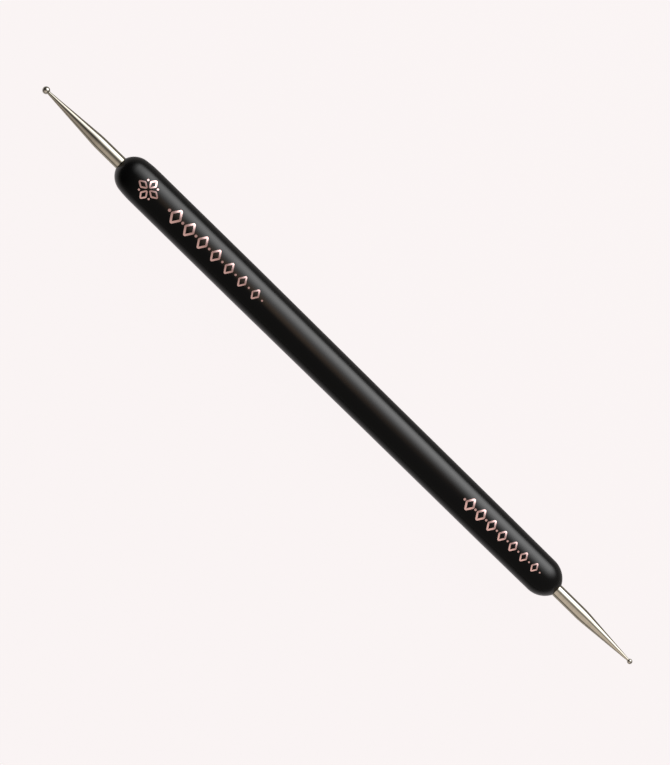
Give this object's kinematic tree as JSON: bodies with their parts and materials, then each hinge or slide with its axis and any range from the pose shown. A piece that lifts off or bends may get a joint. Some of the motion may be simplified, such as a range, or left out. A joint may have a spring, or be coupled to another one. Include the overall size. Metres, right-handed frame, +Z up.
{
  "type": "embossing stylus",
  "caption": "Slim double-ended embossing stylus: a round black lacquered handle with tapered steel tips that end in a larger and a smaller ball, for pressing lines and dots.",
  "frame": {"origin": "under the middle of the whole tool, on the surface that it lies on", "axes": "+X along the tool, from the large ball to the small ball; +Z up"},
  "size_m": [0.1298, 0.0066, 0.0066],
  "materials": {
    "black_lacquered_wood": "turned hardwood under satin black lacquer, smooth, with a soft broad highlight",
    "turned_steel": "turned and polished stainless steel with faint rings round it",
    "polished_ball_steel": "mirror-polished bearing ball",
    "cured_glue": "cured two-part glue, hidden inside the handle"
  },
  "bodies": {
    "root": {"handle": "black_lacquered_wood", "large_tip_rod": "turned_steel", "large_tip_ball": "polished_ball_steel", "large_tip_glue": "cured_glue", "small_tip_rod": "turned_steel", "small_tip_ball": "polished_ball_steel", "small_tip_glue": "cured_glue"}
  },
  "joints": []
}
